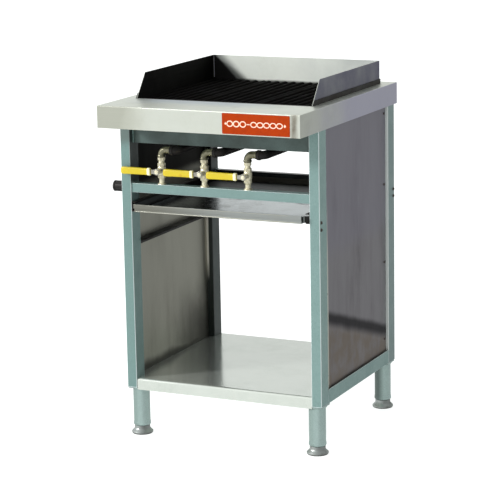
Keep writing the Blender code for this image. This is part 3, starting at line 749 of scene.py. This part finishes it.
def make_grate(place):
    """A cast section: tapered bars with rounded tops and nosed ends, on three lower cross ties."""
    low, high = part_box(f"grate_{place}")
    bars, slot = 7, 0.012
    pitch = (high.x - low.x + slot) / bars
    shape = bmesh.new()
    section = [(-0.0034, 0.0), (-0.0050, 0.40), (-0.0062, 0.72), (-0.0058, 0.88), (-0.0036, 0.97), (0.0, 1.0)]
    section += [(-x, z) for x, z in reversed(section[:-1])]
    reach = high.y - low.y
    nose = [(0.0, 0.55, 0.0062), (0.0022, 0.82, 0.0034), (0.0055, 0.96, 0.0012), (0.010, 1.0, 0.0)]
    stations = nose + [(reach - y, width, drop) for y, width, drop in reversed(nose)]
    for bar in range(bars):
        middle = low.x + (pitch - slot) / 2 + bar * pitch
        rings = []
        for y, width, drop in stations:
            tall = high.z - low.z - drop
            rings.append([Vector((middle + x * width, low.y + y, low.z + z * tall)) for x, z in section])
        loft(shape, rings)
    inset, tie, half_tie, sunk = 0.001, 0.011, 0.005, 0.0058
    middle = (reach / 2 - half_tie, reach / 2 + half_tie)
    for start, end in ((inset, inset + tie), middle, (reach - inset - tie, reach - inset)):
        block(shape, (low.x + inset, low.y + start, low.z), (high.x - inset, low.y + end, high.z - sunk))
    piece(f"cast_grate_{place}", shape, "cast_iron", f"grate_{place}", [f"grate_{place}"], 0.0008)


def make_guard_seams():
    """Weld beads down the two rear corners of the splash guard."""
    shape = bmesh.new()
    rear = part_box("splash_guard_rear")[0].y
    steps, inset = 40, 0.0006
    for side, sign in SIDES.items():
        low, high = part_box(f"splash_guard_{side}")
        x = low.x if sign > 0 else high.x
        foot, top = low.z + 0.026, high.z - 0.002
        heights = [foot + (top - foot) * i / steps for i in range(steps + 1)]
        points = [(x - sign * inset, rear - inset, z) for z in heights]
        radii = [0.0014 + 0.00025 * sin(i * 2.4) for i in range(steps + 1)]
        sweep(shape, points, radii, 10)
    piece("guard_corner_welds", shape, "stainless", "stand")


def make_badge():
    """The badge plate, with a plain enamelled chain of ovals along its middle."""
    low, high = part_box("badge_plate")
    middle = (low + high) / 2
    half_width, half_height = (high.x - low.x) / 2, (high.z - low.z) / 2
    proud = 0.0003
    face = low.y + proud
    plate = bmesh.new()
    outline = rounded_outline(half_width, half_height, 0.003)
    prism(plate, [(middle.x + x, 0, middle.z + z) for x, z in outline], Y, face, high.y)
    piece("badge", plate, "badge_red", "stand", ["badge_plate"], 0.0003)

    marks = bmesh.new()

    def oval(centre, width, height, line, steps=28):
        """A flat ring standing just proud of the plate."""
        turns = [2 * pi * i / steps for i in range(steps)]
        outer = [(centre + width * cos(a), height * sin(a)) for a in turns]
        inner = [(centre + (width - line) * cos(a), (height - line) * sin(a)) for a in turns]
        rings = []
        for points, y in ((outer, face), (outer, low.y), (inner, low.y), (inner, face)):
            rings.append([Vector((middle.x + x, y, middle.z + z)) for x, z in points])
        loft(marks, rings, closed=True)

    def lozenge(centre, width, height):
        corners = [(centre + width, 0), (centre, height), (centre - width, 0), (centre, -height)]
        prism(marks, [(middle.x + x, 0, middle.z + z) for x, z in corners], Y, low.y, face)

    def chain(count, start, spacing, height, line):
        """Ovals that overlap in a row."""
        half = 0.0098
        for i in range(count):
            oval(start + i * spacing, half, height, line)

    dash_start, dash_end, half_dash = middle.x - 0.0262, middle.x - 0.0172, 0.0013
    lozenge(-0.0885, 0.0030, 0.0040)
    chain(3, -0.0758, 0.0192, 0.0088, 0.0030)
    block(marks, (dash_start, low.y, middle.z - half_dash), (dash_end, face, middle.z + half_dash))
    chain(5, -0.0056, 0.0188, 0.0080, 0.0027)
    lozenge(0.0850, 0.0036, 0.0050)
    piece("badge_pattern", marks, "badge_red", "stand", look="badge_white")


# ---------------------------------------------------------------- gas path


def joint_at(name):
    found = next(joint for joint in frame["joints"] if joint["name"] == name)
    return Vector(found["pos_m"])


def make_valve(place):
    """A plated ball valve: hexagonal ends, a barrel, a boss with its packing nut."""
    at = joint_at(f"valve_{place}_turn")
    low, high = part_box(f"valve_body_{place}")
    foot, top = low.z - at.z, high.z - at.z
    body = bmesh.new()
    barrel = [(0.0080, -0.0128), (0.0100, -0.0118), (0.0112, -0.0090), (0.0117, -0.0045), (0.0118, 0.0)]
    barrel += [(radius, -height) for radius, height in reversed(barrel[:-1])]
    turned(body, barrel, at)
    turned(body, [(0.0078, foot), (0.0078, top)], at)
    near, far, ring, half_ring = 0.0122, 0.0212, 0.0235, 0.0012
    for sign in (-1, 1):
        hexagon(body, 0.0112, *sorted((sign * near, sign * far)), at)
        middle = sign * ring
        turned(body, [(0.0082, middle - half_ring), (0.0088, middle), (0.0082, middle + half_ring)], at)
    hexagon(body, 0.0104, top - 0.0095, top - 0.0005, at)
    turned(body, [(0.0088, 0.008), (0.0079, 0.0115), (0.0074, 0.0205), (0.0064, 0.0225)], at, -Y, 40)
    hexagon(body, 0.0078, 0.0205, 0.0278, at, -Y)
    piece(f"ball_valve_{place}", body, "nickel", "stand", [f"valve_body_{place}"], 0.0003)

    stem = bmesh.new()
    turned(stem, [(0.0038, 0.0), (0.0038, 0.0345), (0.0032, 0.0354)], at, -Y, 32)
    turned(stem, [(0.0066, 0.0278), (0.0066, 0.0288)], at, -Y, 32)
    hexagon(stem, 0.0066, 0.0317, 0.0346, at, -Y, 0.0005)
    piece(f"stem_nut_{place}", stem, "nickel", f"lever_{place}", [f"valve_stem_{place}"], 0.0002)


def make_lever(place):
    """A stamped lever with a round eye, the dipped sleeve over its arm and the pale collar round that."""
    at = joint_at(f"valve_{place}_turn")
    body = f"lever_{place}"
    low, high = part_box(f"valve_lever_{place}")
    lever = bmesh.new()
    half, eye, neck, opening = 0.0058, 0.0092, 0.014, 2.35
    outline = [(low.x - at.x, -half), (-neck, -half)]
    outline += arc((0, 0), eye, -opening, opening, 24)
    outline += [(-neck, half), (low.x - at.x, half)]
    prism(lever, [(at.x + x, 0, at.z + z) for x, z in outline], Y, low.y, high.y)
    piece(f"lever_{place}_arm", lever, "lever_steel", body, [f"valve_lever_{place}"], 0.0004)

    low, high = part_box(f"lever_sleeve_{place}")
    middle = (low + high) / 2
    half_y, half_z = (high.y - low.y) / 2, (high.z - low.z) / 2
    length = high.x - low.x

    def skin(stations):
        """A rounded skin round the arm. Each station is a distance from its start and a share of its size."""
        shape = bmesh.new()
        rings = []
        for along, size in stations:
            outline = rounded_outline(half_y * size, half_z * size, 0.0042 * size)
            rings.append([Vector((high.x - along, middle.y + y, middle.z + z)) for y, z in outline])
        loft(shape, rings)
        return shape

    stations = [(0.0, 0.80), (0.0008, 0.95), (0.0022, 1.0), (0.0045, 0.99), (0.007, 0.90), (0.03, 0.92)]
    stations += [(0.06, 0.95), (length - 0.012, 1.0), (length - 0.005, 0.97), (length - 0.0018, 0.82)]
    stations += [(length - 0.0004, 0.58), (length, 0.35)]
    piece(f"sleeve_{place}", skin(stations), "yellow_sleeve", body, [f"lever_sleeve_{place}"], angle=0.9)
    collar = skin(((0.0004, 0.96), (0.0008, 1.01), (0.0044, 1.02), (0.0090, 0.99), (0.0094, 0.90)))
    piece(f"sleeve_collar_{place}", collar, "yellow_sleeve", body, angle=0.9, look="sleeve_collar")


def pipe_level(place):
    """The height of the pipe from a valve's elbow to its burner."""
    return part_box(f"elbow_{place}")[1].z - 0.0105


def make_elbow(place):
    """The elbow on top of a valve, with a bead round each end."""
    low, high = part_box(f"elbow_{place}")
    at = joint_at(f"valve_{place}_turn")
    level = pipe_level(place)
    radius, turn = 0.0104, 0.016
    elbow = bmesh.new()
    bend = arc((at.x + turn, level - turn), turn, pi, pi / 2, 14)
    points = [(at.x, at.y, low.z), (at.x, at.y, low.z + 0.002)]
    points += [(x, at.y, z) for x, z in bend] + [(high.x, at.y, level)]
    sweep(elbow, points, radius, 40)
    bead = [(0.0108, 0.0), (0.0117, 0.0010), (0.0119, 0.0028), (0.0117, 0.0046), (0.0108, 0.0058)]
    turned(elbow, bead, (at.x, at.y, low.z), Z, 40)
    turned(elbow, bead, (high.x, at.y, level), -X, 40)
    # Its finish is the darker copy of the plating: painted shade and painted reflection.
    piece(f"cast_elbow_{place}", elbow, "nickel", "stand", [f"elbow_{place}"], look="shaded_elbow_plating")


def make_burner(place):
    """The burner pipe: it bends back under the firebox and has two rows of raised ports along its top."""
    low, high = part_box(f"burner_{place}")
    front = joint_at(f"valve_{place}_turn").y
    level = pipe_level(place)
    corner, rear = high.x - 0.0125, high.y
    radius, turn = 0.0121, 0.018
    burner = bmesh.new()
    bend = arc((corner - turn, front + turn), turn, -pi / 2, 0, 14)
    points = [(low.x, front, level)] + [(x, y, level) for x, y in bend] + [(corner, rear, level)]
    sweep(burner, points, radius, 40)
    socket = [(0.0126, 0.0), (0.0142, 0.0008), (0.0142, 0.0085), (0.0126, 0.0095)]
    turned(burner, socket, (low.x, front, level), X, 40)
    cap = [(0.0124, -0.012), (0.0132, -0.011), (0.0132, -0.001), (0.0122, 0.0)]
    turned(burner, cap, (corner, rear, level), Y, 40)
    ports, first, pitch = 26, 0.075, 0.0155
    rim = [(0.0024, 0.0), (0.0020, 0.0007), (0.0011, 0.0007), (0.0011, 0.0002)]
    for row in (-1, 1):
        lean = Vector((row * 0.5, 0, 0.866)).normalized()
        for port in range(ports):
            centre = Vector((corner, front + first + port * pitch, level)) + lean * 0.0118
            turned(burner, rim, centre, lean, 10)
    piece(f"burner_pipe_{place}", burner, "black_iron", "stand", [f"burner_{place}"])


def make_inlet():
    """The ribbed socket with a bead round each end, and the threaded nipple through the left leg."""
    low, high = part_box("inlet_socket")
    middle = (low + high) / 2
    radius, length = (high.z - low.z) / 2, high.x - low.x
    ease, bead, waist, bore = 0.0008, 0.0050, 0.0016, 0.0108
    socket = bmesh.new()
    half = [(radius - ease, 0.0), (radius, ease), (radius, bead), (radius - waist, bead + 0.0010)]
    outer = half + [(size, length - along) for size, along in reversed(half)]
    turned(socket, outer + [(bore, length), (bore, 0.0)], (high.x, middle.y, middle.z), -X, 48, closed=True)
    ribs, half_rib, rise = 8, 0.0012, 0.0010
    reach = length / 2 - 0.0062
    for rib in range(ribs):
        angle = 2 * pi * rib / ribs
        lean = Vector((0, cos(angle), sin(angle)))
        centre = Vector((high.x - length / 2, middle.y, middle.z)) + lean * (radius - 0.0012)
        side = X.cross(lean)
        signs = ((-1, -1), (1, -1), (1, 1), (-1, 1))
        foot = [centre + X * a * reach + side * b * half_rib for a, b in signs]
        loft(socket, [foot, [corner + lean * rise for corner in foot]])
    piece("inlet_coupling", socket, "black_iron", "stand", ["inlet_socket"], 0.0002)

    low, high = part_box("inlet_nipple")
    reach = high.x - low.x
    crest, root, bore, pitch = 0.0105, 0.0098, 0.0075, 0.0018
    nipple = bmesh.new()
    outside = []
    for turn in range(14):
        outside += [(crest, reach - turn * pitch), (root, reach - turn * pitch - pitch / 2)]
    outside += [(0.0104, 0.0), (bore, 0.0), (bore, reach)]
    turned(nipple, outside, (high.x, middle.y, middle.z), -X, 40, closed=True)
    piece("threaded_nipple", nipple, "black_iron", "stand", ["inlet_nipple"])


# ---------------------------------------------------------------- stand


def make_foot_column(name):
    """A round foot tube with a thicker lower end, under its square plate."""
    low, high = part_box(f"foot_tube_{name}")
    middle = (low + high) / 2
    plate = high.z - 0.004
    radius, band, bore, thread, floor = 0.0240, 0.0250, 0.0225, 0.0083, low.z + 0.008
    tube = bmesh.new()
    outside = [(radius - 0.0004, plate), (radius, plate - 0.002), (radius, low.z + 0.0120)]
    outside += [(0.0247, low.z + 0.0090), (band, low.z + 0.0060), (band, low.z + 0.0012)]
    outside += [(band - 0.0008, low.z)]
    inside = [(thread, low.z), (thread, floor), (bore, floor), (bore, plate)]
    turned(tube, outside + inside, (middle.x, middle.y, 0), Z, 64, closed=True)
    block(tube, (low.x, low.y, plate), (high.x, high.y, high.z))
    piece(f"foot_column_{name}", tube, "foot_steel", "stand", [f"foot_tube_{name}"], 0.0004)


def make_foot_weld(name):
    """An uneven bead round the tube where it meets its plate."""
    low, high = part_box(f"foot_tube_{name}")
    middle = (low + high) / 2
    steps, sides, distance = 96, 8, 0.0252
    rings = []
    for i in range(steps):
        angle = 2 * pi * i / steps
        outward = Vector((cos(angle), sin(angle), 0))
        centre = Vector((middle.x, middle.y, high.z - 0.0048)) + distance * outward
        radius = 0.0019 + 0.0003 * sin(i * 1.9)
        turns = [2 * pi * k / sides for k in range(sides)]
        rings.append([centre + radius * (cos(a) * outward + sin(a) * Z) for a in turns])
    weld = bmesh.new()
    loft(weld, rings, closed=True)
    piece(f"foot_weld_{name}", weld, "foot_steel", "stand")


def make_levelling_foot(name):
    """A spun steel bell under a round neck, on a rubber pad."""
    body = f"levelling_foot_{name}"
    low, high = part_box(body)
    middle = (low + high) / 2
    at = (middle.x, middle.y, 0)
    flange = (high.x - low.x) / 2
    foot = bmesh.new()
    bell = [(0.0010, high.z), (0.0078, high.z - 0.001), (0.0080, 0.0262), (0.0078, 0.0252)]
    bell += [(0.0205, 0.0250), (0.0222, 0.0238), (0.0225, 0.0220), (0.0225, 0.0165), (0.0229, 0.0148)]
    bell += [(0.0243, 0.0126), (0.0264, 0.0104), (0.0290, 0.0080), (flange, 0.0056), (flange, 0.0034)]
    bell += [(flange - 0.0010, 0.0024)]
    turned(foot, bell, at, Z, 64)
    piece(f"foot_bell_{name}", foot, "foot_steel", body, [body], look="foot_zinc")
    pad = bmesh.new()
    turned(pad, [(flange - 0.0014, 0.0028), (flange - 0.0010, 0.0014), (flange - 0.0020, 0.0)], at, Z, 64)
    piece(f"foot_pad_{name}", pad, "foot_steel", body, look="pad_rubber")


def screw(shape, at, normal, radius):
    """A domed head with a round recess in it."""
    at, normal = Vector(at), Vector(normal)
    profile = [(1.0, 0.0), (1.0, 0.22), (0.93, 0.45), (0.78, 0.62), (0.56, 0.72), (0.48, 0.72), (0.46, 0.30)]
    turned(shape, [(radius * r, radius * h) for r, h in profile], at, normal, 18)


CHANNEL_SCREWS = (0.662, 0.642)  # heights of the two screws that hold a tray channel to its leg


def make_fasteners():
    """Screws that hold the side panels and the tray channels."""
    heads = bmesh.new()
    for side, sign in SIDES.items():
        low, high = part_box(f"side_panel_{side}")
        face = high.x if sign > 0 else low.x
        for y in (low.y + 0.012, high.y - 0.012):
            for share in (0.06, 0.35, 0.64, 0.90):
                screw(heads, (face, y, low.z + share * (high.z - low.z)), sign * X, 0.0036)
        for end in ("front", "rear"):
            low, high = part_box(f"leg_{end}_{side}")
            face = high.x if sign > 0 else low.x
            edge = low.y + 0.010 if end == "front" else high.y - 0.010
            for z in CHANNEL_SCREWS:
                screw(heads, (face, edge, z), sign * X, 0.0046)
    piece("screw_heads", heads, "lever_steel", "stand", look="dark_screw")


def make_tray_edge():
    """The tray's front edge: a wire bead rolled into its top, and a hem along its bottom."""
    low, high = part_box("drip_tray")
    half, steps = 0.2565, 24
    shape = bmesh.new()
    span = [CENTRE_X - half + 2 * half * i / steps for i in range(steps + 1)]
    ends = (0.35, 0.85)
    sizes = [*ends, *[1] * (steps + 1 - 2 * len(ends)), *reversed(ends)]
    for z, y, radius in ((high.z - 0.0022, low.y + 0.0021, 0.0022), (low.z + 0.0020, low.y + 0.0046, 0.0017)):
        sweep(shape, [(x, y, z) for x in span], [radius * size for size in sizes], 16)
    piece("tray_rolled_edge", shape, "polished_steel", "drip_tray", look="tray_bead")


def make_frame_welds():
    """Fillet welds where the manifold, the cross rail and the aprons meet the legs."""
    shape = bmesh.new()
    inset, pitch = 0.001, 0.0022

    def bead(start, end, radius=0.0018):
        start, end = Vector(start), Vector(end)
        steps = max(8, int((end - start).length / pitch))
        points = [start.lerp(end, i / steps) for i in range(steps + 1)]
        sweep(shape, points, [radius * (1 + 0.16 * sin(i * 1.7)) for i in range(steps + 1)], 10)

    for node in ("gas_manifold", "rear_cross_rail"):
        low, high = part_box(node)
        for x in (low.x, high.x):
            for y in (low.y, high.y):
                bead((x, y, low.z + inset), (x, y, high.z - inset))
            for z in (low.z, high.z):
                bead((x, low.y + inset, z), (x, high.y - inset, z))
    under_deck = DECK_LOW.z - 0.002
    for node, face in (("front_apron", 0), ("rear_apron", 1)):
        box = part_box(node)
        for x in (box[0].x, box[1].x):
            bead((x, box[face].y, box[0].z), (x, box[face].y, under_deck))
    piece("frame_welds", shape, "frame_paint", "stand", look="weld_paint")


def make_manifold_bosses():
    """A low collar on the manifold under each valve."""
    shape = bmesh.new()
    collar = [(0.0125, -0.0002), (0.0120, 0.0014), (0.0100, 0.0032), (0.0080, 0.0042)]
    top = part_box("gas_manifold")[1].z
    for place in PLACES:
        at = joint_at(f"valve_{place}_turn")
        turned(shape, collar, (at.x, at.y, top), Z, 40)
    piece("manifold_bosses", shape, "nickel", "stand")


dress_cad_nodes()
for grate_place in PLACES:
    make_grate(grate_place)
make_guard_seams()
make_badge()
for valve_place in PLACES:
    make_valve(valve_place)
    make_lever(valve_place)
    make_elbow(valve_place)
    make_burner(valve_place)
make_inlet()
for foot_side in SIDES:
    for foot_end in ("front", "rear"):
        make_foot_column(f"{foot_end}_{foot_side}")
        make_foot_weld(f"{foot_end}_{foot_side}")
        make_levelling_foot(f"{foot_end}_{foot_side}")
make_tray_edge()
make_fasteners()
make_frame_welds()
make_manifold_bosses()


# ---------------------------------------------------------------- studio


WHITE = (0.985, 1, 0.995, 1)


def make_floor():
    """A pale, faintly glowing floor, which keeps shadows light and stays out of reflections."""
    shape = bmesh.new()
    bmesh.ops.create_grid(shape, x_segments=2, y_segments=2, size=40)
    mesh = bpy.data.meshes.new("floor")
    shape.to_mesh(mesh)
    shape.free()
    pale = Shader("floor", srgb(172, 174, 173), 0.0, 0.9)
    pale.surface.inputs["Emission Color"].default_value = WHITE
    pale.surface.inputs["Emission Strength"].default_value = 0.84
    grain = pale.noise(2.0, detail=2)
    pale.join(pale.remap(grain, 0.3, 0.7, 0.85, 0.95), "Roughness")
    mesh.materials.append(pale.material)
    floor = bpy.data.objects.new("floor", mesh)
    bpy.context.scene.collection.objects.link(floor)
    floor.visible_glossy = False


def make_light():
    """A key from high on the left in front, in a white room that dims towards the right."""
    world = bpy.data.worlds.new("studio")
    bpy.context.scene.world = world
    world.use_nodes = True
    tree = world.node_tree
    background = tree.nodes["Background"]
    place = tree.nodes.new("ShaderNodeTexCoord")
    facing = tree.nodes.new("ShaderNodeVectorMath")
    facing.operation = "DOT_PRODUCT"
    facing.inputs[1].default_value = Vector((-1.0, -0.05, 0.12)).normalized()
    dim, bright = 0.42, 0.84
    tree.links.new(place.outputs["Generated"], facing.inputs[0])
    level = tree.nodes.new("ShaderNodeMapRange")
    for socket, value in ((1, -0.45), (2, 0.42), (3, dim), (4, bright)):
        level.inputs[socket].default_value = value
    tree.links.new(facing.outputs["Value"], level.inputs[0])
    seen = tree.nodes.new("ShaderNodeLightPath").outputs["Is Camera Ray"]
    choice = tree.nodes.new("ShaderNodeMix")
    tree.links.new(seen, choice.inputs[0])
    tree.links.new(level.outputs[0], choice.inputs[2])
    choice.inputs[3].default_value = 1.0
    tree.links.new(choice.outputs[0], background.inputs["Strength"])
    background.inputs["Color"].default_value = WHITE

    key = bpy.data.lights.new("key", "SUN")
    key.energy = 2.4
    key.angle = 0.16
    lamp = bpy.data.objects.new("key", key)
    bpy.context.scene.collection.objects.link(lamp)
    lamp.rotation_mode = "QUATERNION"
    lamp.rotation_quaternion = Vector((1.57, 1.35, -1.0)).to_track_quat("-Z", "Y")


def make_camera():
    """The viewpoint: in front and to the right, a little above, tilted about one degree."""
    place = Vector((CENTRE_X + 2.4435, -5.2514, 1.7510))
    target = Vector((CENTRE_X - 0.0026, -0.0240, 0.5255))
    ahead = (target - place).normalized()
    right = ahead.cross(Z).normalized()
    tilt = -0.0181
    right = Matrix.Rotation(tilt, 3, -ahead) @ right
    upward = right.cross(ahead)
    lens = bpy.data.cameras.new("camera")
    lens.lens = 147.98
    lens.sensor_width = 36
    lens.clip_end = 200
    camera = bpy.data.objects.new("camera", lens)
    bpy.context.scene.collection.objects.link(camera)
    turn = Matrix((right, upward, -ahead)).transposed().to_4x4()
    camera.matrix_world = Matrix.Translation(place) @ turn
    bpy.context.scene.camera = camera


make_floor()
make_light()
make_camera()
bpy.context.scene.view_settings.view_transform = "Standard"
